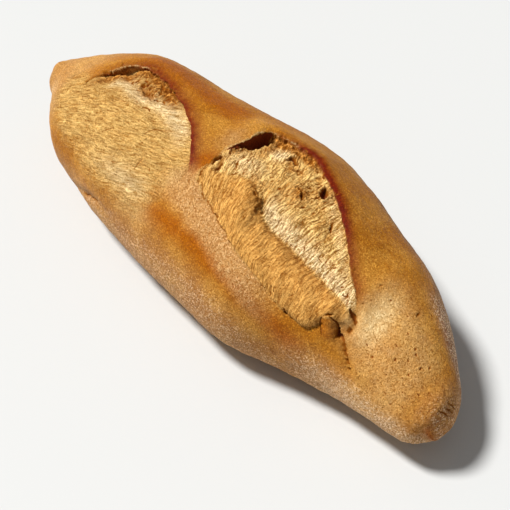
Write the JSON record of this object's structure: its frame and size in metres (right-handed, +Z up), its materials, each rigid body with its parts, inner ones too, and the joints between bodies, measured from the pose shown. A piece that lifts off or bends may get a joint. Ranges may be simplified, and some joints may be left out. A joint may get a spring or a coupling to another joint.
{
  "type": "rye bread loaf",
  "caption": "Long free-standing rye loaf with tapered ends, a flat sole and two opened slashes along its top, one with a rolled band of crumb.",
  "frame": {"origin": "middle of the loaf's box, on the surface that it lies on", "axes": "+X along the loaf, from its squared knob to its round tip; +Y across it, to the side of the slashes' lips; +Z up"},
  "size_m": [0.3006, 0.1108, 0.0774],
  "materials": {
    "crust": "golden-brown baked rye crust, matte and floury, pale torn crumb in the slashes"
  },
  "bodies": {
    "root": {"loaf": "crust"}
  },
  "joints": []
}
